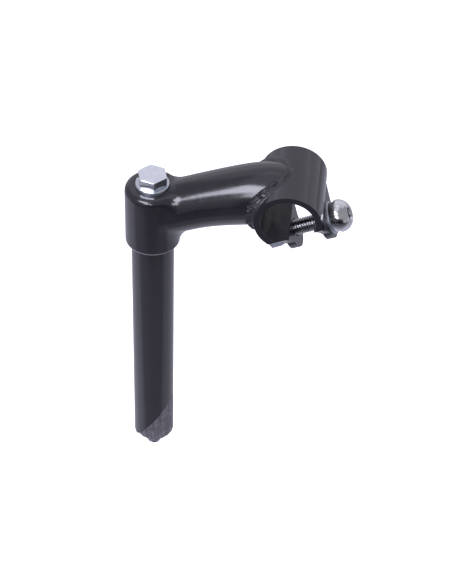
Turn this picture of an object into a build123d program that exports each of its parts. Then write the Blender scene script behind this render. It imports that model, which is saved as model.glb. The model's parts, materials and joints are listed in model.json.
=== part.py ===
"""Quill handlebar stem for a bicycle, built piece by piece.

Frame: +X points forward to the handlebar, Y runs along the handlebar and +Z points up.
The origin is on the quill's axis, at the shoulder just under the neck. Sizes are in millimetres.
"""
import os
from math import cos, radians, sin, sqrt, tan

from build123d import *

os.makedirs("parts", exist_ok=True)

# ---- Quill: the tube that goes down into the steerer ----
quill_r = 10.55
quill_wall = 2.6
quill_bottom = -140.0
# Spigot turned down to enter the neck, which ends just above the tube's shoulder
spigot_r = 10.3
spigot_top = 24.0
neck_foot = 0.1
# Slanted cut between tube and wedge: its rise per mm forward, and its height on the axis
cut_rise = 1.55
cut_height = -127.2
cut_gap = 0.12

# ---- Neck and extension ----
neck_r = 13.5
neck_top = 33.5
neck_edge_r = 3.2
neck_rim_chamfer = 0.3
bolt_hole_r = 4.4
blend_r = 14.0
extension_wall = 3.0
# Round sections along the extension: forward place, height, slope in degrees and radius
extension_stations = [
    (0.0, 16.0, 24.0, 11.2),
    (13.0, 22.2, 22.0, 12.9),
    (27.0, 27.7, 18.0, 13.3),
    (42.0, 32.1, 12.0, 14.4),
    (54.0, 34.7, 6.0, 15.1),
    (66.5, 34.2, -2.0, 14.8),
]
cavity_start = 2

# ---- Handlebar clamp: a band that ends in two ears ----
clamp_x = 66.5
clamp_z = 33.0
clamp_length = 39.0
clamp_outer_r = 16.1
clamp_bore_r = 12.9
clamp_edge = 0.4
# Ears: their faces, measured along the pinch bolt from the foot of the clamp's axis on it
rear_gap_face = -5.0
rear_outer_face = -9.0
front_gap_face = 9.5
front_outer_face = 13.0
ear_end_r = 9.7
ear_neck = 9.65
ear_root = -9.4
ear_waist = (-4.6, 14.2)
ear_hole_r = 4.5
ear_lip_r = 0.8
rear_bend_r = 2.0
front_bend_r = 1.2
nut_seat_r = 6.4
nut_seat_face = -12.3

# ---- Pinch bolt: slope above horizontal, and distance from the clamp's axis ----
pinch_slope = 25.7
pinch_offset = 17.9
pinch_bolt_length = 37.5
pinch_head_r = 8.0
pinch_head_h = 6.1
pinch_head_skirt = 0.9
pinch_dome_shoulder = (6.9, 4.0)
socket_rim_r = 4.3
socket_across_flats = 6.0
socket_depth = 4.0

# ---- Weld bead round the joint between extension and clamp ----
bead_leg = 4.8
bead_outer_r = 17.9
bead_taper = 4.0
bead_back = 44.0
bead_front = 62.5
nut_room_r = 9.2

# ---- Other fasteners ----
thread_r = 4.0
bolt_tip_chamfer = 0.8
running_gap = 0.05
hex_across_flats = 13.0
head_face_share = 1.1
nut_face_share = 0.95
hex_corner_slope = 30.0
washer_hole_r = 4.2
washer_h = 1.6
washer_edge = 0.3
quill_washer_r = 8.2
quill_head_h = 5.2
quill_head_turn = 44.0
quill_bolt_tip = -150.6
pinch_washer_r = 8.0
lock_washer_r = 7.4
lock_washer_h = 2.4
lock_washer_gap = 1.6
nut_h = 6.8

# ---- Expander wedge ----
wedge_r = 10.2
wedge_shift = 0.35
wedge_play = 1.7

# ---- Values worked out from the driving dimensions ----
quill_head_seat = neck_top + washer_h + running_gap
lock_washer_seat = front_outer_face + washer_h + running_gap
pinch_head_seat = lock_washer_seat + lock_washer_h
hex_corner_r = hex_across_flats / sqrt(3)

# Plane above which the tube is kept and below which the wedge is kept
cut_plane = Plane(origin=(0, 0, cut_height), x_dir=(0, 1, 0), z_dir=(-cut_rise, 0, 1))
# Plane of the clamp's outline: x runs along the pinch bolt, y away from the handlebar
clamp_plane = Plane(
    origin=(clamp_x, 0, clamp_z),
    x_dir=(cos(radians(pinch_slope)), 0, sin(radians(pinch_slope))),
    z_dir=(0, 1, 0),
)


def pinch_plane(place):
    """Plane square to the pinch bolt at a place along it: x away from the handlebar, y along it."""
    foot = clamp_plane.from_local_coords(Vector(place, pinch_offset, 0))
    return Plane(origin=foot, x_dir=clamp_plane.y_dir, z_dir=clamp_plane.x_dir)


def section_plane(forward, height, slope):
    """Plane of one round section of the extension, square to its centre line."""
    tilt = radians(slope)
    return Plane(origin=(forward, 0, height), x_dir=(0, 1, 0), z_dir=(cos(tilt), 0, sin(tilt)))


def half_plane(base):
    """Plane that holds the axis of a turned shape: x outward, y along the axis."""
    return Plane(origin=base.origin, x_dir=base.x_dir, z_dir=-base.y_dir)


def round_sections(stations, inset=0.0):
    """Sketches of the extension's round sections, made smaller by an inset."""
    sections = []
    for forward, height, slope, radius in stations:
        with BuildSketch(section_plane(forward, height, slope)) as section:
            Circle(radius - inset)
        sections.append(section.sketch)
    return sections


def hex_prism(base, height, turn, face_share, both_ends):
    """Hexagonal head or nut on a plane, with its corners turned off at one end or at both."""
    face_r = face_share * hex_across_flats / 2
    drop = (hex_corner_r - face_r) * tan(radians(hex_corner_slope))
    low_corner = [(face_r, 0), (hex_corner_r, drop)] if both_ends else [(hex_corner_r, 0)]
    high_corner = [(hex_corner_r, height - drop), (face_r, height)]
    with BuildPart() as prism:
        with BuildSketch(base):
            RegularPolygon(hex_across_flats / 2, 6, major_radius=False, rotation=turn)
        extrude(amount=height)
        with BuildSketch(half_plane(base)):
            with BuildLine():
                Polyline((0, 0), *low_corner, *high_corner, (0, height), close=True)
            make_face()
        revolve(axis=Axis(base.origin, base.z_dir), mode=Mode.INTERSECT)
    return prism.part


def make_washer(base, outer_r, height):
    """Flat washer on a plane, with its outer edges broken."""
    with BuildPart() as washer:
        with BuildSketch(base):
            Circle(outer_r)
            Circle(washer_hole_r, mode=Mode.SUBTRACT)
        extrude(amount=height)
        chamfer(edges().filter_by(GeomType.CIRCLE).sort_by(SortBy.RADIUS)[-2:], washer_edge)
    return washer


def finish(builder, name):
    """Label a finished piece and write it to its STEP file."""
    builder.part.label = name
    export_step(builder.part, f"parts/{name}.step")


# ---- Shapes that several pieces share ----
with BuildPart() as formed_body:
    with BuildSketch(Plane.XZ):
        with BuildLine():
            Polyline((0, neck_foot), (neck_r, neck_foot), (neck_r, neck_top), (0, neck_top), close=True)
        make_face()
        outer_corners = vertices().group_by(Axis.X)[-1].sort_by(Axis.Y)
        fillet(outer_corners[-1], neck_edge_r)
        chamfer(outer_corners[0], neck_rim_chamfer)
    revolve(axis=Axis.Z)
    loft(round_sections(extension_stations))
    seam = edges().filter_by(GeomType.BSPLINE).filter_by(lambda edge: edge.center().X < neck_r)
    fillet(seam, blend_r)

with BuildPart() as clamp_room:
    with BuildSketch(clamp_plane):
        Circle(clamp_outer_r)
    extrude(amount=clamp_length, both=True)

# ---- Neck and extension, one formed piece ----
with BuildPart() as neck_and_extension:
    add(formed_body.part)
    loft(round_sections(extension_stations[cavity_start:], inset=extension_wall), mode=Mode.SUBTRACT)
    add(clamp_room.part, mode=Mode.SUBTRACT)
    with BuildSketch(Plane.XY):
        Circle(spigot_r)
    extrude(amount=spigot_top, mode=Mode.SUBTRACT)
    with BuildSketch(Plane.XY):
        Circle(bolt_hole_r)
    extrude(amount=neck_top, mode=Mode.SUBTRACT)
    # Flat for the washer
    with BuildSketch(Plane.XY.offset(neck_top)):
        Circle(quill_washer_r + washer_edge)
    extrude(amount=neck_top, mode=Mode.SUBTRACT)
finish(neck_and_extension, "neck_and_extension")

# ---- Handlebar clamp ----
with BuildPart() as handlebar_clamp:
    with BuildSketch(clamp_plane) as outline:
        Circle(clamp_outer_r)
        ear_reach = pinch_offset + ear_end_r
        for inner, outer in ((rear_gap_face, rear_outer_face), (front_gap_face, front_outer_face)):
            with Locations(((inner + outer) / 2, ear_reach / 2)):
                Rectangle(abs(outer - inner), ear_reach)
        for face, bend_r in ((rear_outer_face, rear_bend_r), (front_outer_face, front_bend_r)):
            root = Vector(face, sqrt(clamp_outer_r**2 - face**2))
            fillet(vertices().sort_by_distance(root)[0], bend_r)
        Circle(clamp_bore_r, mode=Mode.SUBTRACT)
        with Locations(((rear_gap_face + front_gap_face) / 2, ear_reach / 2)):
            Rectangle(front_gap_face - rear_gap_face, ear_reach, mode=Mode.SUBTRACT)
        for face in (rear_gap_face, front_gap_face):
            lip = Vector(face, sqrt(clamp_bore_r**2 - face**2))
            fillet(vertices().sort_by_distance(lip)[0], ear_lip_r)
    extrude(amount=clamp_length / 2, both=True)
    round_edges = edges().filter_by(GeomType.CIRCLE)
    chamfer(round_edges.filter_by(lambda edge: abs(edge.radius - clamp_bore_r) < clamp_edge), clamp_edge)
    # Ears narrowed to their round ends
    with BuildSketch(pinch_plane(0)):
        with Locations((ear_root, 0)):
            Rectangle(2 * clamp_outer_r, 2 * clamp_length, align=(Align.MIN, Align.CENTER))
        with BuildLine():
            end_start = (sqrt(ear_end_r**2 - ear_neck**2), ear_neck)
            side = ThreePointArc((ear_root, clamp_length / 2), ear_waist, end_start)
            ThreePointArc(end_start, (ear_end_r, 0), (end_start[0], -ear_neck))
            mirror(side, about=Plane.XZ)
            Line((ear_root, clamp_length / 2), (ear_root, -clamp_length / 2))
        make_face(mode=Mode.SUBTRACT)
    extrude(amount=2 * clamp_outer_r, both=True, mode=Mode.SUBTRACT)
    # Raised seat for the nut, and the bolt's hole through both ears
    with BuildSketch(pinch_plane(rear_outer_face)):
        Circle(nut_seat_r)
    extrude(amount=nut_seat_face - rear_outer_face)
    with BuildSketch(pinch_plane(0)):
        Circle(ear_hole_r)
    extrude(amount=2 * clamp_outer_r, both=True, mode=Mode.SUBTRACT)
finish(handlebar_clamp, "handlebar_clamp")

# ---- Weld bead: a collar round the extension where it meets the clamp ----
with BuildPart() as weld_bead:
    with BuildSketch(Plane.YZ.offset(bead_front)):
        with Locations((0, clamp_z)):
            Circle(bead_outer_r)
    extrude(amount=bead_back - bead_front, taper=bead_taper)
    with BuildSketch(clamp_plane):
        Circle(clamp_outer_r + bead_leg)
    extrude(amount=clamp_length, both=True, mode=Mode.INTERSECT)
    add(clamp_room.part, mode=Mode.SUBTRACT)
    add(formed_body.part, mode=Mode.SUBTRACT)
    # Kept clear of the nut and of the rear ear
    with BuildSketch(pinch_plane(front_gap_face)):
        Circle(nut_room_r)
    extrude(amount=-clamp_length, mode=Mode.SUBTRACT)
finish(weld_bead, "weld_bead")

# ---- Quill tube, cut on a slant at its lower end ----
with BuildPart() as quill_tube:
    with BuildSketch(Plane.XY):
        Circle(quill_r)
    extrude(amount=quill_bottom)
    with BuildSketch(Plane.XY):
        Circle(spigot_r)
    extrude(amount=spigot_top)
    with BuildSketch(Plane.XY.offset(quill_bottom)):
        Circle(quill_r - quill_wall)
    extrude(amount=spigot_top - quill_bottom, mode=Mode.SUBTRACT)
    split(bisect_by=cut_plane.offset(cut_gap / 2), keep=Keep.TOP)
finish(quill_tube, "quill_tube")

# ---- Expander wedge, which completes the slanted end of the tube ----
with BuildPart() as expander_wedge:
    hole_r = thread_r + running_gap
    with BuildSketch(Plane.XY.offset(quill_bottom)):
        with Locations((wedge_shift, 0)):
            Circle(wedge_r)
        SlotOverall(2 * hole_r + wedge_play, 2 * hole_r, mode=Mode.SUBTRACT)
    extrude(amount=2 * (quill_r + wedge_shift) * cut_rise)
    split(bisect_by=cut_plane.offset(-cut_gap / 2), keep=Keep.BOTTOM)
finish(expander_wedge, "expander_wedge")

# ---- Quill bolt and its washer ----
quill_bolt_washer = make_washer(Plane.XY.offset(neck_top), quill_washer_r, washer_h)
finish(quill_bolt_washer, "quill_bolt_washer")

with BuildPart() as quill_bolt:
    with BuildSketch(Plane.XY.offset(quill_bolt_tip)):
        Circle(thread_r)
    extrude(amount=quill_head_seat - quill_bolt_tip)
    chamfer(edges().sort_by(Axis.Z)[0], bolt_tip_chamfer)
    head_base = Plane.XY.offset(quill_head_seat)
    add(hex_prism(head_base, quill_head_h, quill_head_turn, head_face_share, both_ends=False))
finish(quill_bolt, "quill_bolt")

# ---- Pinch bolt, its washers and its nut ----
pinch_flat_washer = make_washer(pinch_plane(front_outer_face), pinch_washer_r, washer_h)
finish(pinch_flat_washer, "pinch_flat_washer")

with BuildPart() as pinch_lock_washer:
    with BuildSketch(pinch_plane(lock_washer_seat)):
        Circle(lock_washer_r)
        Circle(washer_hole_r, mode=Mode.SUBTRACT)
        Rectangle(
            2 * lock_washer_r, lock_washer_gap, align=(Align.MIN, Align.CENTER), mode=Mode.SUBTRACT
        )
    extrude(amount=lock_washer_h)
finish(pinch_lock_washer, "pinch_lock_washer")

with BuildPart() as pinch_bolt:
    head_base = pinch_plane(pinch_head_seat)
    with BuildSketch(half_plane(head_base)):
        with BuildLine():
            dome_start = (pinch_head_r, pinch_head_skirt)
            dome_end = (socket_rim_r, pinch_head_h)
            Polyline(dome_end, (0, pinch_head_h), (0, 0), (pinch_head_r, 0), dome_start)
            ThreePointArc(dome_start, pinch_dome_shoulder, dome_end)
        make_face()
    revolve(axis=Axis(head_base.origin, head_base.z_dir))
    with BuildSketch(head_base.offset(pinch_head_h - socket_depth)):
        RegularPolygon(socket_across_flats / 2, 6, major_radius=False)
    extrude(amount=socket_depth, mode=Mode.SUBTRACT)
    with BuildSketch(head_base.offset(-pinch_bolt_length)):
        Circle(thread_r)
    extrude(amount=pinch_bolt_length)
    tip_place = head_base.from_local_coords(Vector(0, 0, -pinch_bolt_length))
    tip_edge = edges().filter_by(GeomType.CIRCLE).sort_by_distance(tip_place)[0]
    chamfer(tip_edge, bolt_tip_chamfer)
finish(pinch_bolt, "pinch_bolt")

with BuildPart() as pinch_nut:
    nut_base = pinch_plane(nut_seat_face - running_gap - nut_h)
    add(hex_prism(nut_base, nut_h, 0, nut_face_share, both_ends=True))
    with BuildSketch(nut_base):
        Circle(thread_r + running_gap)
    extrude(amount=nut_h, mode=Mode.SUBTRACT)
finish(pinch_nut, "pinch_nut")
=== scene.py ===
"""Looks of the handlebar stem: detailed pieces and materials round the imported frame, with studio light and camera."""

import json
from math import cos, inf, pi, radians, sin, sqrt, tan

import bmesh
import bpy
import numpy as np
from mathutils import Matrix, Vector
from mathutils.bvhtree import BVHTree


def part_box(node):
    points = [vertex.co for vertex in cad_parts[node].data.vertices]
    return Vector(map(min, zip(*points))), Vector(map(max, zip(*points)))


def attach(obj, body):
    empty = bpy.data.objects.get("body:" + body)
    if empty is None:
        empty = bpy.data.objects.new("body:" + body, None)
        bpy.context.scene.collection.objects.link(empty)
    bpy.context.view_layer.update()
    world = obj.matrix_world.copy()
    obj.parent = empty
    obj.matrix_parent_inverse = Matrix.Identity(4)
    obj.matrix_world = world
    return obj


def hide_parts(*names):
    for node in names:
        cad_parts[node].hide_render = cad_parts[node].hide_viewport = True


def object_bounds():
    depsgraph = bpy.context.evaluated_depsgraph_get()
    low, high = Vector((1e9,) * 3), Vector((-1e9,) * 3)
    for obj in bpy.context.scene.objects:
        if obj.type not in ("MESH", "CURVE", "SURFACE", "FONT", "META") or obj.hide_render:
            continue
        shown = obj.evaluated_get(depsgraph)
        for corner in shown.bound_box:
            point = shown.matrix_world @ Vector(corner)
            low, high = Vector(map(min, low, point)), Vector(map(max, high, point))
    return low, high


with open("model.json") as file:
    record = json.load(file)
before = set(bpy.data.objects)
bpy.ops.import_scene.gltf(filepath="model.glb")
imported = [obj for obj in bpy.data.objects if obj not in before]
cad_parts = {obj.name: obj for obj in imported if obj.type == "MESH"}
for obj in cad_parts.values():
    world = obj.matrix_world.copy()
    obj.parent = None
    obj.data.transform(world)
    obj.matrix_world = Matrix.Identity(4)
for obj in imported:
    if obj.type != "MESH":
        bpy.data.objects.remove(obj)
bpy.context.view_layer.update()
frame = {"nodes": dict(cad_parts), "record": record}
NODES = frame["nodes"]
RECORD = frame["record"]
JOINTS = {joint["name"]: joint for joint in RECORD["behaviour"]["joints"]}
MOUNTS = {mount["name"]: mount for mount in RECORD["mounts"]}
MM = 0.001
FULL_TURN = 2 * pi
ORIGIN, UPRIGHT = (0, 0, 0), (0, 0, 1)
# The handlebar's bore: its centre and radius
BARREL = MOUNTS["handlebar_clamp"]["pos_m"]
BORE_R = MOUNTS["handlebar_clamp"]["dims"]["r_mm"] * MM


# ---------------------------------------------------------------- measuring the frame
def points_of(node):
    """Corner points of a CAD node, in the shared frame, in metres."""
    mesh = NODES[node].data
    flat = np.empty(len(mesh.vertices) * 3, np.float32)
    mesh.vertices.foreach_get("co", flat)
    return flat.reshape(-1, 3).astype(float)


def span(node, origin, axis):
    """Lowest and highest place of a node along an axis, and its furthest distance from that axis."""
    offset = points_of(node) - np.array(origin)
    along = offset @ np.array(axis)
    away = np.linalg.norm(offset - np.outer(along, axis), axis=1)
    return along.min(), along.max(), away.max()


def corner_turn(node, matrix, low_r=0.0, high_r=inf):
    """Angle about a frame's z at which a node has a corner, among its points between two distances from it."""
    points = points_of(node)
    local = (np.array(matrix.inverted()) @ np.c_[points, np.ones(len(points))].T)[:3].T
    away = np.hypot(local[:, 0], local[:, 1])
    kept = local[(away > low_r) & (away < high_r)]
    furthest = kept[np.hypot(kept[:, 0], kept[:, 1]).argmax()]
    return float(np.arctan2(furthest[1], furthest[0]))


def axis_matrix(origin, axis, towards):
    """Matrix whose z runs along axis and whose x leans towards a direction, at an origin."""
    z = Vector(axis).normalized()
    x = (Vector(towards) - z * z.dot(Vector(towards))).normalized()
    turn = Matrix((x, z.cross(x), z)).transposed().to_4x4()
    return Matrix.Translation(Vector(origin)) @ turn


# ---------------------------------------------------------------- mesh makers
CREASE = radians(35)
JOIN_WITHIN = 2e-6
SHORTEST_EDGE = 1e-6
# Radius of the tiny ring that closes a turned shape at its axis
AXIS_R = 0.02 * MM
ROUND_STEPS = 4


def linked(name, data):
    """New object in the scene, from a mesh, a light or a camera."""
    made = bpy.data.objects.new(name, data)
    bpy.context.scene.collection.objects.link(made)
    return made


def new_piece(name, points, faces, crease=CREASE):
    """Mesh object from points and faces: near-coincident points joined, smooth except over creases."""
    mesh = bpy.data.meshes.new(name)
    mesh.from_pydata([tuple(p) for p in points], [], [tuple(f) for f in faces])
    piece = linked(name, mesh)
    work = bmesh.new()
    work.from_mesh(mesh)
    bmesh.ops.remove_doubles(work, verts=work.verts, dist=JOIN_WITHIN)
    bmesh.ops.dissolve_degenerate(work, edges=work.edges, dist=SHORTEST_EDGE)
    bmesh.ops.recalc_face_normals(work, faces=work.faces)
    work.to_mesh(mesh)
    work.free()
    mesh.shade_smooth()
    mesh.set_sharp_from_angle(angle=crease)
    return piece


def merged(name, shapes, matrix):
    """One piece from several (points, faces) shapes, placed by a matrix."""
    points, faces = [], []
    for some_points, some_faces in shapes:
        faces += [tuple(i + len(points) for i in face) for face in some_faces]
        points += [tuple(p) for p in some_points]
    piece = new_piece(name, points, faces)
    piece.data.transform(matrix)
    return piece


def ring_faces(ring_count, per_ring):
    """Quads between successive rings of points, each ring closed on itself."""
    faces = []
    for i in range(ring_count - 1):
        for j in range(per_ring):
            k = (j + 1) % per_ring
            faces.append((i * per_ring + j, i * per_ring + k, (i + 1) * per_ring + k, (i + 1) * per_ring + j))
    return faces


def turned(rings, around):
    """Points and faces from (radius, height) rings about z, either one a number or a function of the angle."""
    angles = np.arange(around) * FULL_TURN / around
    points = []
    for radius, height in rings:
        reach = radius(angles) if callable(radius) else np.full(around, radius)
        high = height(angles) if callable(height) else np.full(around, height)
        points += list(zip(reach * np.cos(angles), reach * np.sin(angles), high))
    return points, ring_faces(len(rings), around)


def hexagon(across_flats, turn):
    """Radius of a hexagon, as a function of the angle."""
    def rule(angles):
        local = np.mod(angles - turn, pi / 3) - pi / 6
        return across_flats / 2 / np.cos(local)
    return rule


def rounded(radius_in, height_in, radius_out, height_out):
    """Rings round a quarter-circle edge from (radius_in, height_in), the flat's end, to (radius_out, height_out)."""
    rings = []
    for k in range(ROUND_STEPS + 1):
        t = k / ROUND_STEPS * pi / 2
        rings.append((radius_in + (radius_out - radius_in) * sin(t), height_out + (height_in - height_out) * cos(t)))
    return rings


# ---------------------------------------------------------------- materials
PAINT_SHADES = (0.0145, 0.0132, 0.0178), (0.0195, 0.0178, 0.0232)
# Pale colour painted on the neck's lower rim as a highlight
RIM_HIGHLIGHT_PAINT = (0.26, 0.25, 0.28, 1)
BORE_ROUGHNESS = 0.6, 0.75
COAT_WEIGHT, COAT_ROUGHNESS = 0.25, 0.14


def material(name, metallic, coat=0.0):
    """New material with its node tree and its shader."""
    made = bpy.data.materials.new(name)
    made.use_nodes = True
    shader = made.node_tree.nodes["Principled BSDF"]
    shader.inputs["Metallic"].default_value = metallic
    shader.inputs["Coat Weight"].default_value = coat
    return made, made.node_tree, shader


def new_node(tree, kind, **settings):
    """New shader node of a kind."""
    made = tree.nodes.new("ShaderNode" + kind)
    for setting, value in settings.items():
        setattr(made, setting, value)
    return made


def feed(tree, socket, source):
    """Lead a node's output or a plain value into a socket."""
    if isinstance(source, bpy.types.NodeSocket):
        tree.links.new(source, socket)
    else:
        socket.default_value = source


def own_place(tree):
    """Place on the piece, in its own coordinates, in metres."""
    return new_node(tree, "TexCoord").outputs["Object"]


def noise(tree, scale, detail, stretch=(1, 1, 1), roughness=0.5):
    """Noise in the piece's own coordinates, in features per metre."""
    mapping = new_node(tree, "Mapping")
    feed(tree, mapping.inputs["Vector"], own_place(tree))
    feed(tree, mapping.inputs["Scale"], stretch)
    field = new_node(tree, "TexNoise")
    feed(tree, field.inputs["Vector"], mapping.outputs["Vector"])
    feed(tree, field.inputs["Scale"], scale)
    feed(tree, field.inputs["Detail"], detail)
    feed(tree, field.inputs["Roughness"], roughness)
    return field.outputs["Fac"]


def ramp(tree, source, *stops):
    """Colour ramp from a source, between two (position, colour) stops."""
    made = new_node(tree, "ValToRGB")
    for end, (position, colour) in zip(made.color_ramp.elements, stops):
        end.position = position
        end.color = (*colour, 1)
    feed(tree, made.inputs["Fac"], source)
    return made.outputs["Color"]


def map_range(tree, source, low, high, from_low=0.3, from_high=0.7):
    """Source carried from one range of numbers to another."""
    made = new_node(tree, "MapRange")
    feed(tree, made.inputs["From Min"], from_low)
    feed(tree, made.inputs["From Max"], from_high)
    feed(tree, made.inputs["To Min"], low)
    feed(tree, made.inputs["To Max"], high)
    feed(tree, made.inputs["Value"], source)
    return made.outputs["Result"]


def mix(tree, factor, a, b, **settings):
    """Mix of two sources."""
    made = new_node(tree, "Mix", **settings)
    feed(tree, made.inputs["Factor"], factor)
    feed(tree, made.inputs["A"], a)
    feed(tree, made.inputs["B"], b)
    return made.outputs["Result"]


def bump(tree, shader, source, distance, strength, before=None):
    """Bump of a height field, chained after another one."""
    made = new_node(tree, "Bump")
    feed(tree, made.inputs["Distance"], distance)
    feed(tree, made.inputs["Strength"], strength)
    feed(tree, made.inputs["Height"], source)
    if before:
        feed(tree, made.inputs["Normal"], before)
    feed(tree, shader.inputs["Normal"], made.outputs["Normal"])
    return made.outputs["Normal"]


def bore_share(tree):
    """1 inside the handlebar's bore, where the paint is thin and dull, and 0 elsewhere."""
    flat = new_node(tree, "VectorMath", operation="MULTIPLY")
    feed(tree, flat.inputs[0], own_place(tree))
    feed(tree, flat.inputs[1], (1, 0, 1))
    away = new_node(tree, "VectorMath", operation="DISTANCE")
    feed(tree, away.inputs[0], flat.outputs["Vector"])
    feed(tree, away.inputs[1], (BARREL[0], 0, BARREL[2]))
    return map_range(tree, away.outputs["Value"], 1.0, 0.0, BORE_R + 0.05 * MM, BORE_R + 0.3 * MM)


def rim_highlight_share(tree):
    """1 on the neck's lower rim, where a pale line is painted as a highlight, and 0 elsewhere."""
    split = new_node(tree, "SeparateXYZ")
    feed(tree, split.inputs["Vector"], own_place(tree))
    height = split.outputs["Z"]
    both = new_node(tree, "Math", operation="MULTIPLY")
    feed(tree, both.inputs[0], map_range(tree, height, 0.0, 1.0, 0.02 * MM, 0.12 * MM))
    feed(tree, both.inputs[1], map_range(tree, height, 1.0, 0.0, 0.42 * MM, 0.72 * MM))
    return both.outputs["Value"]


def black_paint(name, rough_low, rough_high, peel):
    """Semi-gloss black paint with a faint violet cast and orange peel, dull in the bore, with a painted highlight on
    the rim.
    """
    made, tree, shader = material(name, metallic=0.0, coat=COAT_WEIGHT)
    feed(tree, shader.inputs["Coat Roughness"], COAT_ROUGHNESS)
    tint = ramp(tree, noise(tree, 90, 4), (0.3, PAINT_SHADES[0]), (0.72, PAINT_SHADES[1]))
    # The pale line on the neck's lower rim is a painted highlight
    feed(tree, shader.inputs["Base Color"], mix(tree, rim_highlight_share(tree), tint, RIM_HIGHLIGHT_PAINT, data_type="RGBA"))
    fine = noise(tree, 420, 5)
    outside = map_range(tree, fine, rough_low, rough_high)
    inside = map_range(tree, fine, *BORE_ROUGHNESS)
    feed(tree, shader.inputs["Roughness"], mix(tree, bore_share(tree), outside, inside))
    waves = bump(tree, shader, noise(tree, 620, 2), 0.06 * MM, peel)
    bump(tree, shader, noise(tree, 2600, 2), 0.012 * MM, peel, waves)
    return made


def bright_metal(name, colours, rough_low, rough_high, grain_scale, grain_depth):
    """Plated metal with soft stains in colour and roughness and a fine grain."""
    made, tree, shader = material(name, metallic=1.0)
    cloud = ramp(tree, noise(tree, 260, 5), (0.32, colours[0]), (0.68, colours[1]))
    feed(tree, shader.inputs["Base Color"], cloud)
    feed(tree, shader.inputs["Roughness"], map_range(tree, noise(tree, 700, 4), rough_low, rough_high))
    bump(tree, shader, noise(tree, grain_scale, 3), grain_depth, 0.6)
    return made


def forged_steel(name):
    """Dull dark steel with upright scratches and grit."""
    made, tree, shader = material(name, metallic=0.75)
    cloud = noise(tree, 300, 6, roughness=0.65)
    patchy = ramp(tree, cloud, (0.3, (0.16, 0.152, 0.168)), (0.7, (0.34, 0.322, 0.342)))
    streaks = noise(tree, 1500, 4, stretch=(1, 1, 0.06))
    scratched = ramp(tree, streaks, (0.36, (0.7, 0.69, 0.69)), (0.64, (1.22, 1.22, 1.24)))
    worn = mix(tree, 1.0, patchy, scratched, data_type="RGBA", blend_type="MULTIPLY")
    feed(tree, shader.inputs["Base Color"], worn)
    feed(tree, shader.inputs["Roughness"], map_range(tree, noise(tree, 900, 4), 0.36, 0.56))
    scratches = bump(tree, shader, streaks, 0.12 * MM, 0.9)
    bump(tree, shader, noise(tree, 2800, 3), 0.04 * MM, 0.6, scratches)
    return made


PAINT = black_paint("semi_gloss_black", 0.16, 0.22, 0.12)
BEAD_PAINT = black_paint("semi_gloss_black_on_weld", 0.38, 0.52, 0.6)
BOLT_CHROME = bright_metal(
    "bright_chrome", ((0.74, 0.77, 0.84), (0.83, 0.85, 0.9)), 0.1, 0.2, 3000, 0.006 * MM)
DARK_CHROME = bright_metal(
    "dark_chrome", ((0.6, 0.6, 0.63), (0.72, 0.72, 0.75)), 0.12, 0.22, 2400, 0.006 * MM)
# Bare steel of the pinch bolt's thread, darkened further as painted shade where it lies in the clamp's gap
THREAD_STEEL_SHADED = bright_metal(
    "thread_steel_painted_shade", ((0.3, 0.3, 0.31), (0.42, 0.42, 0.43)), 0.18, 0.32, 4000, 0.01 * MM)
WASHER_CHROME = bright_metal(
    "satin_chrome", ((0.52, 0.56, 0.61), (0.62, 0.66, 0.71)), 0.42, 0.52, 2600, 0.01 * MM)
ZINC = bright_metal(
    "blue_white_zinc", ((0.7, 0.75, 0.84), (0.8, 0.84, 0.93)), 0.24, 0.38, 3500, 0.01 * MM)
WEDGE_STEEL = forged_steel("forged_steel")


def paint_with(piece, made):
    """Give the piece one material in every slot."""
    if not piece.data.materials:
        piece.data.materials.append(made)
    for k in range(len(piece.data.materials)):
        piece.data.materials[k] = made


def place(piece, made, body, node):
    """Finish a piece: give it its material and its body, and hide the node that it stands for."""
    paint_with(piece, made)
    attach(piece, body)
    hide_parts(node)


for painted in ("neck_and_extension", "quill_tube", "handlebar_clamp"):
    paint_with(NODES[painted], PAINT)

# ---------------------------------------------------------------- fasteners
PITCH = 1.25 * MM
THREAD_DEPTH = 0.76 * MM
THREAD_CREST = 3.96 * MM
THREAD_TIP_R = THREAD_CREST - THREAD_DEPTH * 1.05
THREAD_AROUND = 56
THREAD_ROWS = 12
# Shares of half a pitch taken by the crest's flat and by the flank
CREST_SHARE, FLANK_SHARE = 0.14, 0.72
TIP_FADE = 1.0 * MM
QUILL_THREAD_LENGTH = 42 * MM
QUILL_THREAD_FADE = 3 * MM
PINCH_THREAD_FADE = 1.0 * MM
HEAD_GAP = 0.05 * MM
HEAD_AROUND = 144
WASHER_AROUND = 96
WASHER_BORE_R = 4.2 * MM
NUT_BORE_R = 4.02 * MM
# How far the flat round face of a hexagon reaches, as a share of half its width across flats
HEAD_FACE_SHARE, NUT_FACE_SHARE = 1.1, 0.95


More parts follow.
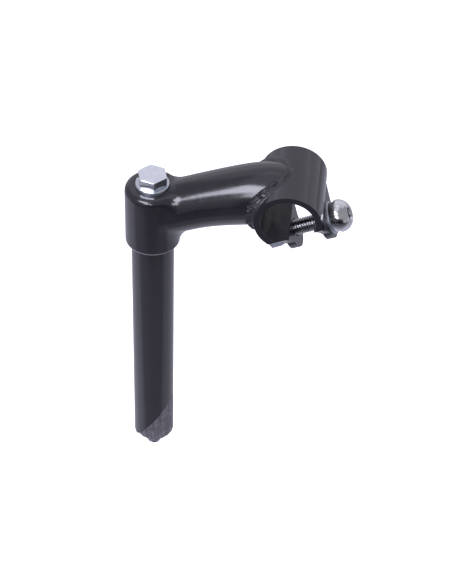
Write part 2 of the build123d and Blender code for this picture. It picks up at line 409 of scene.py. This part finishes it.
def thread(low, high, root_fade):
    """Points and faces of a helical thread along z, cut back at its tip, low, and fading out towards high."""
    rows = int((high - low) / PITCH + 2) * THREAD_ROWS
    share = np.mod(np.arange(rows + 1), THREAD_ROWS) / THREAD_ROWS
    from_crest = np.minimum(share, 1 - share) * 2
    groove = np.clip((from_crest - CREST_SHARE) / FLANK_SHARE, 0, 1)
    turn = np.arange(THREAD_AROUND) / THREAD_AROUND
    z = low - PITCH + (np.arange(rows + 1)[:, None] / THREAD_ROWS + turn[None, :]) * PITCH
    z = np.clip(z, low, high)
    r = np.repeat((THREAD_CREST - THREAD_DEPTH * groove)[:, None], THREAD_AROUND, axis=1)
    r = np.minimum(r, THREAD_TIP_R + (z - low) / TIP_FADE * THREAD_DEPTH)
    r = THREAD_CREST - (THREAD_CREST - r) * np.clip((high - z) / root_fade, 0, 1)
    angle = turn[None, :] * FULL_TURN
    points = np.stack([r * np.cos(angle), r * np.sin(angle), z], axis=2).reshape(-1, 3)
    faces = []
    for i in range(rows):
        for j in range(THREAD_AROUND - 1):
            a = i * THREAD_AROUND + j
            faces.append((a, a + 1, a + THREAD_AROUND + 1, a + THREAD_AROUND))
        # The last column joins the first one a whole pitch further up
        if i + THREAD_ROWS + 1 <= rows:
            a = i * THREAD_AROUND + THREAD_AROUND - 1
            b = (i + THREAD_ROWS) * THREAD_AROUND
            faces.append((a, b, b + THREAD_AROUND, a + THREAD_AROUND))
    return points, faces


def chamfered_hex(across_flats, low, high, turn, face_share, bore=None):
    """Rings of a hexagonal head, its top corners turned off, or of a nut with a bore and both ends turned off."""
    edge = 0.12 * MM
    soft = 0.9 * edge
    slope = tan(radians(30))
    countersink, countersink_deep = 0.5 * MM, 0.6 * MM
    hexa = hexagon(across_flats, turn)
    face_r = across_flats / 2 * face_share

    def outline(inset):
        return lambda angles: hexa(angles) - inset

    def face_edge(inset):
        return lambda angles: np.minimum(hexa(angles) - soft, face_r) - inset

    def drop(angles):
        return np.maximum(hexa(angles) - face_r, 0.6 * edge) * slope

    def turned_end(face, inwards):
        """Rings from an end's flat face, over its chamfer, to the hexagon's full size."""
        return [
            (face_edge(2.2 * edge), face),
            (face_edge(0.0), face + inwards * 0.25 * edge),
            (outline(soft), lambda a: face + inwards * drop(a)),
            (outline(0), lambda a: face + inwards * (drop(a) + soft)),
        ]

    if bore is None:
        return [(AXIS_R, high), *turned_end(high, -1), (outline(0), low + edge), (outline(edge), low), (AXIS_R, low)]
    bore_top, bore_foot = (bore, high - countersink_deep), (bore, low + countersink_deep)
    return [
        bore_top, (bore + countersink, high), *turned_end(high, -1),
        *reversed(turned_end(low, 1)), (bore + countersink, low), bore_foot, bore_top,
    ]


def flat_ring(inner, outer, low, high, edge):
    """Rings of a stamped washer: rolled edge on top, small broken edge underneath."""
    return [
        (inner, low + 0.1 * MM), (inner, high - 0.25 * MM),
        (inner + 0.08 * MM, high - 0.08 * MM), (inner + 0.25 * MM, high),
        *rounded(outer - edge, high, outer, high - edge),
        (outer, low + 0.12 * MM), (outer - 0.12 * MM, low), (inner + 0.1 * MM, low), (inner, low + 0.1 * MM),
    ]


def split_ring(inner, outer, low, high, gap, slant):
    """Spring washer: a square-section ring with a slanted slit."""
    around, edge = 90, 0.15 * MM
    section = [
        (inner + edge, low), (inner, low + edge), (inner, high - edge), (inner + edge, high),
        (outer - edge, high), (outer, high - edge), (outer, low + edge), (outer - edge, low),
    ]
    points, count = [], len(section)
    half = gap / 2 / outer
    for k in range(around + 1):
        for r, z in section:
            lean = slant * ((z - low) / (high - low) - 0.5)
            start, stop = half + lean, FULL_TURN - half + lean
            angle = start + (stop - start) * k / around
            points.append((r * cos(angle), r * sin(angle), z))
    faces = []
    for k in range(around):
        for i in range(count):
            j = (i + 1) % count
            faces.append((k * count + i, k * count + j, (k + 1) * count + j, (k + 1) * count + i))
    faces.append(tuple(range(count)))
    faces.append(tuple(reversed(range(around * count, (around + 1) * count))))
    return points, faces


# Quill bolt: hexagon head, plain shank and thread at the foot
washer_low, washer_high, washer_r = span("quill_bolt_washer", ORIGIN, UPRIGHT)
bolt_low, bolt_high, bolt_r = span("quill_bolt", ORIGIN, UPRIGHT)
quill_frame = Matrix.Identity(4)
quill_turn = corner_turn("quill_bolt", quill_frame)
head_seat = washer_high + HEAD_GAP
thread_top = bolt_low + QUILL_THREAD_LENGTH
quill_thread = thread(bolt_low, thread_top, QUILL_THREAD_FADE)
quill_tip = turned([
    (AXIS_R, bolt_low + 0.25 * MM), (THREAD_TIP_R * 0.55, bolt_low + 0.05 * MM),
    (THREAD_TIP_R * 0.9, bolt_low), (THREAD_TIP_R, bolt_low),
], THREAD_AROUND)
shank = turned([(THREAD_CREST, thread_top), (THREAD_CREST, head_seat + 0.5 * MM)], THREAD_AROUND)
head = turned(chamfered_hex(bolt_r * sqrt(3), head_seat, bolt_high, quill_turn, HEAD_FACE_SHARE), HEAD_AROUND)
quill_bolt = merged("quill_bolt_detailed", [quill_thread, quill_tip, shank, head], quill_frame)
place(quill_bolt, BOLT_CHROME, "quill_bolt", "quill_bolt")

quill_ring = turned(flat_ring(WASHER_BORE_R, washer_r, washer_low, washer_high, 0.3 * MM), WASHER_AROUND)
quill_washer = merged("quill_washer_detailed", [quill_ring], quill_frame)
place(quill_washer, WASHER_CHROME, "stem", "quill_bolt_washer")

# Pinch bolt, washers and nut, in a frame whose z runs out through the head
pinch_joint = JOINTS["pinch_bolt_turn"]
pinch_foot, pinch_axis = pinch_joint["pos_m"], pinch_joint["axis"]
pinch_frame = axis_matrix(pinch_foot, pinch_axis, (0, 1, 0))
flat_low, flat_high, flat_r = span("pinch_flat_washer", pinch_foot, pinch_axis)
lock_low, lock_high, lock_r = span("pinch_lock_washer", pinch_foot, pinch_axis)
pinch_low, pinch_high, pinch_r = span("pinch_bolt", pinch_foot, pinch_axis)
nut_low, nut_high, nut_r = span("pinch_nut", pinch_foot, pinch_axis)

pinch_ring = turned(flat_ring(WASHER_BORE_R, flat_r, flat_low, flat_high, 0.35 * MM), WASHER_AROUND)
flat_washer = merged("pinch_washer_detailed", [pinch_ring], pinch_frame)
place(flat_washer, WASHER_CHROME, "stem", "pinch_flat_washer")

lock_ring = split_ring(WASHER_BORE_R, lock_r, lock_low, lock_high, 1.2 * MM, 0.22)
lock_washer = merged("lock_washer_detailed", [lock_ring], pinch_frame)
place(lock_washer, DARK_CHROME, "pinch_bolt", "pinch_lock_washer")

# Domed head with its hexagon socket: base and skirt, an arc up to the rim, and down into the socket
DOME_BREAK = 0.25 * MM
SKIRT_HIGH = 0.9 * MM
DOME_SHOULDER = (6.9 * MM, 4.0 * MM)
DOME_TOP_R = 4.3 * MM
ARC_STEPS = 18
SOCKET_R = 3.0 * MM
SOCKET_CORNERS = (3.0 * MM, 3.6 * MM)
SOCKET_DEEP = 4.0 * MM


def circle_through(a, b, c):
    """Centre and radius of the circle through three points."""
    (ax, ay), (bx, by), (cx, cy) = a, b, c
    twice = 2 * (ax * (by - cy) + bx * (cy - ay) + cx * (ay - by))
    x = ((ax**2 + ay**2) * (by - cy) + (bx**2 + by**2) * (cy - ay) + (cx**2 + cy**2) * (ay - by)) / twice
    y = ((ax**2 + ay**2) * (cx - bx) + (bx**2 + by**2) * (ax - cx) + (cx**2 + cy**2) * (bx - ax)) / twice
    return x, y, sqrt((ax - x) ** 2 + (ay - y) ** 2)


dome_base = lock_high
skirt_top, dome_top = (pinch_r, SKIRT_HIGH), (DOME_TOP_R, pinch_high - dome_base)
arc_x, arc_y, arc_r = circle_through(skirt_top, DOME_SHOULDER, dome_top)
start_angle = np.arctan2(skirt_top[1] - arc_y, skirt_top[0] - arc_x)
stop_angle = np.arctan2(dome_top[1] - arc_y, dome_top[0] - arc_x)
dome = [(AXIS_R, dome_base), (pinch_r - DOME_BREAK, dome_base), (pinch_r, dome_base + DOME_BREAK)]
for k in range(ARC_STEPS + 1):
    angle = start_angle + (stop_angle - start_angle) * k / ARC_STEPS
    dome.append((arc_x + arc_r * cos(angle), dome_base + arc_y + arc_r * sin(angle)))
socket_side = hexagon(2 * SOCKET_R, corner_turn("pinch_bolt", pinch_frame, *SOCKET_CORNERS))
socket_floor = pinch_high - SOCKET_DEEP
dome += [
    (4.05 * MM, pinch_high - 0.03 * MM),
    (3.75 * MM, pinch_high - 0.32 * MM),
    (lambda a: np.maximum(socket_side(a), 3.3 * MM), pinch_high - 0.62 * MM),
    (lambda a: socket_side(a) + 0.04 * MM, pinch_high - 0.95 * MM),
    (socket_side, pinch_high - 1.1 * MM),
    (socket_side, socket_floor),
    (2.6 * MM, socket_floor),
    (AXIS_R, socket_floor - 0.7 * MM),
]
pinch_thread = thread(pinch_low, dome_base + 0.2 * MM, PINCH_THREAD_FADE)
pinch_tip = turned([
    (AXIS_R, pinch_low + 0.2 * MM), (THREAD_TIP_R * 0.9, pinch_low), (THREAD_TIP_R, pinch_low),
], THREAD_AROUND)
pinch_bolt = merged("pinch_bolt_detailed", [pinch_thread, pinch_tip, turned(dome, HEAD_AROUND)], pinch_frame)
place(pinch_bolt, DARK_CHROME, "pinch_bolt", "pinch_bolt")
# The thread's faces get the steel darkened by painted shade
pinch_bolt.data.materials.append(THREAD_STEEL_SHADED)
thread_end = Vector(pinch_foot).dot(Vector(pinch_axis)) + dome_base - 0.05 * MM
for face in pinch_bolt.data.polygons:
    if face.center.dot(Vector(pinch_axis)) < thread_end:
        face.material_index = 1

nut_turn = corner_turn("pinch_nut", pinch_frame)
nut_shape = turned(
    chamfered_hex(nut_r * sqrt(3), nut_low, nut_high, nut_turn, NUT_FACE_SHARE, NUT_BORE_R), HEAD_AROUND)
nut = merged("pinch_nut_detailed", [nut_shape], pinch_frame)
place(nut, ZINC, "pinch_nut", "pinch_nut")

# ---------------------------------------------------------------- weld bead
BEAD_AROUND = 900
BEAD_ACROSS = 13
BEAD_SAMPLES = 120
BEAD_CREASE = radians(50)
PROFILE_STEP = 0.15 * MM
RAY = 0.03
RIPPLE_PITCH = 1.55 * MM
BEAD_SINK = 0.25 * MM
# Legs, height and ripple of the weld, as (where it is finest, what the heaviest place adds)
LEG_BACK = (2.4, 2.1)
LEG_FRONT = (4.0, 0.3)
CROWN = (0.22, 0.44)
RIPPLE = (0.13, -0.05)
# Shares of the two random curves in the lumps, and by how much each column of points is shifted along them
LUMPS, LUMP_SHIFT = 0.27, 19
SWELLS, SWELL_SHIFT = 0.32, 61
# No point of the weld may be nearer than this to the pinch bolt's line, where the nut is
NUT_ROOM = 8.4 * MM


def surface_of(node):
    """Ray-casting tree of a CAD node."""
    mesh = NODES[node].data
    return BVHTree.FromPolygons([v.co.copy() for v in mesh.vertices], [tuple(p.vertices) for p in mesh.polygons])


extension_surface = surface_of("neck_and_extension")
clamp_surface = surface_of("handlebar_clamp")


def outer_radius(tree, x, angle):
    """Distance of a surface from the line along x through the barrel's centre, seen from outside."""
    outward = Vector((0, cos(angle), sin(angle)))
    centre_line = Vector((x, BARREL[1], BARREL[2]))
    hit = tree.ray_cast(centre_line + outward * RAY, -outward, RAY)[0]
    return (hit - centre_line).length if hit else 0.0


def bead_profile(angle, leg_back, leg_front):
    """Toe on the extension, seam and toe on the clamp at one angle, as (x, radius) points."""
    xs = np.arange(BARREL[0] - 21 * MM, BARREL[0] - 1 * MM, PROFILE_STEP)
    on_extension = np.array([outer_radius(extension_surface, x, angle) for x in xs])
    on_clamp = np.array([outer_radius(clamp_surface, x, angle) for x in xs])
    meets = np.where(on_clamp > on_extension - 0.02 * MM)[0]
    seam = meets[0] if len(meets) else len(xs) - 1
    back = max(0, seam - int(leg_back / PROFILE_STEP))
    start = (xs[back], on_extension[back])
    corner = (xs[seam], on_extension[max(seam - 1, 0)])
    # Walk along the clamp's surface, up its end wall first
    at, left = corner, leg_front
    for i in range(seam, len(xs)):
        ahead = (xs[i], max(on_clamp[i], on_extension[i]))
        step = sqrt((ahead[0] - at[0]) ** 2 + (ahead[1] - at[1]) ** 2)
        if step >= left:
            share = left / step
            return start, corner, (at[0] + (ahead[0] - at[0]) * share, at[1] + (ahead[1] - at[1]) * share)
        left -= step
        at = ahead
    return start, corner, at


def frontness(angle):
    """How heavy the weld is at an angle: 1 on the side that the photograph shows, less behind, 0 above and below."""
    side = -cos(angle)
    return min(side * 1.3, 1.0) if side > 0 else min(-side * 0.6, 0.45)


def wander(count, waves, generator):
    """Smooth closed random curve between about -1 and 1."""
    angle = np.arange(count) / count * FULL_TURN
    total = np.zeros(count)
    for wave in range(1, waves + 1):
        total += generator.normal() * np.sin(wave * angle + generator.uniform(0, FULL_TURN)) / sqrt(waves)
    return total


def smooth_step(t):
    """Soft step from 0 to 1."""
    t = min(max(t, 0.0), 1.0)
    return t * t * (3 - 2 * t)


def weighted(low_and_gain, front):
    """A measure of the weld, in metres, at a place of some frontness."""
    return (low_and_gain[0] + low_and_gain[1] * front) * MM


generator = np.random.default_rng(7)
leg_wander = wander(BEAD_AROUND, 40, generator)
lump_wander = wander(BEAD_AROUND, 90, generator)
profiles = []
for k in range(BEAD_SAMPLES):
    angle = k / BEAD_SAMPLES * FULL_TURN
    front = frontness(angle)
    profiles.append(bead_profile(angle, weighted(LEG_BACK, front), weighted(LEG_FRONT, front)))
profiles = np.array(profiles + profiles[:1])
bead_points = []
travel, last = 0.0, None
for k in range(BEAD_AROUND):
    angle = k / BEAD_AROUND * FULL_TURN
    front = frontness(angle)
    sample = k / BEAD_AROUND * BEAD_SAMPLES
    i, share = int(sample), sample % 1
    toe_back, corner, toe_front = profiles[i] * (1 - share) + profiles[i + 1] * share
    here = np.array([corner[0], corner[1] * cos(angle), corner[1] * sin(angle)])
    travel += 0.0 if last is None else float(np.linalg.norm(here - last))
    last = here
    chord = toe_front - toe_back
    length = np.linalg.norm(chord)
    outward = np.array([-chord[1], chord[0]]) / length
    if outward[1] < 0:
        outward = -outward
    for m in range(BEAD_ACROSS):
        t = m / (BEAD_ACROSS - 1)
        # The section rises from its back toe, steeply where it is heavy, and runs out gently at the front
        full = smooth_step(t / (0.45 - 0.29 * front)) * (1 - smooth_step((t - 0.4) / 0.6))
        # Each ripple is a crescent that lags behind in the middle of the weld
        crescent = travel / RIPPLE_PITCH + 0.5 * (2 * t - 1) ** 2
        height = weighted(CROWN, front) * full
        height += weighted(RIPPLE, front) * (1 - (crescent % 1) ** 1.6) * full
        lump = LUMPS * lump_wander[(k + LUMP_SHIFT * m) % BEAD_AROUND]
        lump += SWELLS * leg_wander[(k + SWELL_SHIFT * m) % BEAD_AROUND]
        height += front * MM * full * lump
        if m in (0, BEAD_ACROSS - 1):
            height = -BEAD_SINK
        shift = 0.16 * MM * leg_wander[k] * (1 - 2 * t)
        x, r = toe_back + chord * t + outward * height + chord / length * shift
        bead_points.append((x, BARREL[1] + r * cos(angle), BARREL[2] + r * sin(angle)))
bead_points = np.array(bead_points)
from_foot = bead_points - np.array(pinch_foot)
along = from_foot @ np.array(pinch_axis)
across_line = from_foot - np.outer(along, pinch_axis)
away = np.linalg.norm(across_line, axis=1)
near = (away < NUT_ROOM) & (along < 0)
bead_points[near] += across_line[near] * (NUT_ROOM / away[near] - 1)[:, None]
bead_faces = []
for k in range(BEAD_AROUND):
    n = (k + 1) % BEAD_AROUND
    for m in range(BEAD_ACROSS):
        o = (m + 1) % BEAD_ACROSS
        bead_faces.append((k * BEAD_ACROSS + m, k * BEAD_ACROSS + o, n * BEAD_ACROSS + o, n * BEAD_ACROSS + m))
bead = new_piece("weld_bead_rippled", bead_points, bead_faces, BEAD_CREASE)
place(bead, BEAD_PAINT, "stem", "weld_bead")

# ---------------------------------------------------------------- expander wedge
WEDGE_AROUND = 480
WEDGE_ROWS = 26
WEDGE_CREASE = radians(28)
# Points of the CAD wedge nearer the bolt's line than this belong to its slot
SLOT_WITHIN = 6 * MM
SIDE_INSET = 0.02 * MM
FOOT_INSET = 0.9 * MM
slide_axis = np.array(JOINTS["wedge_slide"]["axis"])
cut_normal = np.array([-slide_axis[2], 0, slide_axis[0]])
wedge_points = points_of("expander_wedge")
cut_offset = (wedge_points @ cut_normal).max()
wedge_low, wedge_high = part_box("expander_wedge")
wedge_r = (wedge_high.y - wedge_low.y) / 2
wedge_x = wedge_high.x - wedge_r
slot_points = wedge_points[np.hypot(wedge_points[:, 0], wedge_points[:, 1]) < SLOT_WITHIN]
slot_reach, slot_r = slot_points[:, 0].max(), slot_points[:, 1].max()
# The slanted face and the foot meet in a straight edge, and nothing of the wedge lies past it
knife_x = (cut_offset - cut_normal[2] * wedge_low.z) / cut_normal[0]

# Depth of the upright grooves round the wedge's side, in millimetres
generator = np.random.default_rng(11)
grooves = np.zeros(WEDGE_AROUND)
middle = 0.0
while middle < WEDGE_AROUND:
    wide = generator.uniform(7, 13)
    deep = generator.uniform(0.12, 0.34)
    off = np.abs(np.arange(WEDGE_AROUND) - middle) / (wide / 2)
    grooves = np.maximum(grooves, deep * np.clip(1 - off, 0, 1) ** 0.8)
    middle += wide * generator.uniform(0.9, 1.15)
rim_wander = wander(WEDGE_AROUND, 60, generator)
angles = np.arange(WEDGE_AROUND) / WEDGE_AROUND * FULL_TURN
slot_x = slot_r * np.cos(angles) + np.sign(np.cos(angles)) * (slot_reach - slot_r)
slot_y = slot_r * np.sin(angles)


def cut_z(x):
    """Height of the slanted face above a place forward."""
    return (cut_offset - cut_normal[0] * x) / cut_normal[2]


def side_ring(radius, share):
    """Ring of the wedge's side at a share of the way up."""
    x = np.maximum(wedge_x + radius * np.cos(angles), knife_x)
    y = radius * np.sin(angles)
    # The foot's edge is ragged, and nibbled where a groove runs out through it
    base = wedge_low.z + 0.12 * MM + 0.14 * MM * np.abs(rim_wander) + grooves * 0.8 * MM
    top = cut_z(x)
    low_z = np.minimum(base, top)
    return np.stack([x, y, low_z + (top - low_z) * share], axis=1)


def slot_ring(grow, height):
    """Ring of the slot that leaves the bolt room, at one height or at a height for each point."""
    return np.stack([slot_x * grow, slot_y * grow, np.broadcast_to(height, WEDGE_AROUND)], axis=1)


wedge_rings = []
for row in range(WEDGE_ROWS + 1):
    share = row / WEDGE_ROWS
    deep = grooves * MM * (0.75 + 0.25 * np.sin(9 * share + 5 * rim_wander))
    wedge_rings.append(side_ring(wedge_r - SIDE_INSET - deep, share))
wedge_rings.append(slot_ring(1, cut_z(slot_x)))
wedge_rings.append(slot_ring(1, wedge_low.z + 0.5 * MM))
wedge_rings.append(slot_ring(1.12, wedge_low.z + 0.05 * MM))
foot_ring = side_ring(wedge_r - FOOT_INSET - grooves * MM, 0)
foot_ring[:, 2] = wedge_low.z + 0.02 * MM
wedge_rings += [foot_ring, wedge_rings[0]]
wedge = new_piece(
    "expander_wedge_serrated", np.concatenate(wedge_rings), ring_faces(len(wedge_rings), WEDGE_AROUND), WEDGE_CREASE)
place(wedge, WEDGE_STEEL, "wedge", "expander_wedge")

# ---------------------------------------------------------------- studio
low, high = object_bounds()
CENTRE = (low + high) / 2
FLOOR_REACH = 6.0
FLOOR_DROP = 0.25
FLOOR_Z = low.z - FLOOR_DROP
FLOOR_GLOW = 0.46
CARD_REACH = 2.6
CARD_Z = FLOOR_Z + 0.01
DULL = 0.9
WORLD_COLOUR, WORLD_STRENGTH = (0.93, 0.93, 1.0, 1), 0.4
TOP_WHITE, FRONT_WHITE = (0.88, 0.87, 1.0), (0.86, 0.87, 1.0)
# Name, place, width, height, power and colour of each light
LIGHTS = [
    ("overhead", (0.1, 1.0, 1.1), 2.2, 1.2, 3.5, TOP_WHITE),
    ("top", (-0.15, 0.1, 1.4), 1.3, 0.9, 1.9, TOP_WHITE),
    ("back_wall", (0.0, 1.35, 0.35), 3.0, 0.9, 3.2, TOP_WHITE),
    ("front_box", (-0.44, -0.66, 0.9), 0.6, 0.5, 10.5, FRONT_WHITE),
    ("front_low", (-0.2, -1.0, 0.6), 0.55, 0.22, 3.4, FRONT_WHITE),
]
# Name, nearest and furthest y and shade of each card that lies just over the floor
FLOOR_CARDS = [
    ("dark_card_low", -CARD_REACH, -0.425, 0.13),
    ("grey_card_low", -0.425, -0.16, 0.37),
    ("grey_card_back", -0.16, CARD_REACH, 0.7),
]


def area_light(name, location, wide, tall, power, colour):
    """Soft panel light aimed at the object, which the camera doesn't see."""
    lamp = bpy.data.lights.new(name, "AREA")
    lamp.shape = "RECTANGLE"
    lamp.size, lamp.size_y = wide, tall
    lamp.energy = power
    lamp.color = colour
    made = linked(name, lamp)
    made.location = location
    made.rotation_euler = (Vector(CENTRE) - Vector(location)).to_track_quat("-Z", "Y").to_euler()
    made.visible_camera = False


def level_corners(reach, near_y, far_y, z):
    """Corners of a level rectangle."""
    return [(-reach, near_y, z), (reach, near_y, z), (reach, far_y, z), (-reach, far_y, z)]


def stage_panel(name, corners, colour, seen):
    """Flat matt panel of the studio, seen by the camera or by reflections alone, and its shader."""
    mesh = bpy.data.meshes.new(name)
    mesh.from_pydata(corners, [], [(0, 1, 2, 3)])
    matt, tree, shader = material(name, metallic=0.0)
    feed(tree, shader.inputs["Base Color"], (*colour, 1))
    feed(tree, shader.inputs["Roughness"], DULL)
    mesh.materials.append(matt)
    panel = linked(name, mesh)
    panel.visible_camera = panel.visible_shadow = seen
    return shader


def card(name, corners, shade):
    """Card that darkens a side of the object's reflections, as studios use."""
    stage_panel(name, corners, (shade, shade, shade * 1.08), seen=False)


world = bpy.data.worlds.new("studio")
bpy.context.scene.world = world
world.use_nodes = True
world.node_tree.nodes["Background"].inputs["Color"].default_value = WORLD_COLOUR
world.node_tree.nodes["Background"].inputs["Strength"].default_value = WORLD_STRENGTH

floor_corners = level_corners(FLOOR_REACH, -FLOOR_REACH, FLOOR_REACH, FLOOR_Z)
floor_shader = stage_panel("floor", floor_corners, (0.86, 0.86, 0.86), seen=True)
floor_shader.inputs["Specular IOR Level"].default_value = 0.1
floor_shader.inputs["Emission Color"].default_value = (1, 1, 1, 1)
floor_shader.inputs["Emission Strength"].default_value = FLOOR_GLOW
for settings in LIGHTS:
    area_light(*settings)
# Dark ahead of the object, lighter behind it: the paint mirrors these cards, while the camera sees a white floor
for name, near_y, far_y, shade in FLOOR_CARDS:
    card(name, level_corners(CARD_REACH, near_y, far_y, CARD_Z), shade)
card("dark_card_front", [(-0.6, -1.6, CARD_Z), (1.6, -1.6, CARD_Z), (1.6, -1.6, 0.6), (-0.6, -1.6, 0.6)], 0.02)

# ---------------------------------------------------------------- camera, as fitted to the photograph's outlines
CAMERA_AT = (0.08565, -0.60667, 0.55501)
AZIMUTH, ELEVATION, ROLL = radians(4.577), radians(44.017), radians(-2.038)
LENS_MM, SENSOR_MM = 103.4, 36
back = Vector((sin(AZIMUTH) * cos(ELEVATION), -cos(AZIMUTH) * cos(ELEVATION), sin(ELEVATION)))
right = Vector((cos(AZIMUTH), sin(AZIMUTH), 0))
up = Vector((-sin(AZIMUTH) * sin(ELEVATION), cos(AZIMUTH) * sin(ELEVATION), cos(ELEVATION)))
rolled_right = right * cos(ROLL) - up * sin(ROLL)
rolled_up = right * sin(ROLL) + up * cos(ROLL)
lens = bpy.data.cameras.new("camera")
lens.lens = LENS_MM
lens.sensor_width = SENSOR_MM
lens.sensor_fit = "AUTO"
camera = linked("camera", lens)
facing = Matrix((rolled_right, rolled_up, back)).transposed().to_4x4()
camera.matrix_world = Matrix.Translation(Vector(CAMERA_AT)) @ facing
bpy.context.scene.camera = camera
bpy.context.scene.view_settings.view_transform = "Standard"
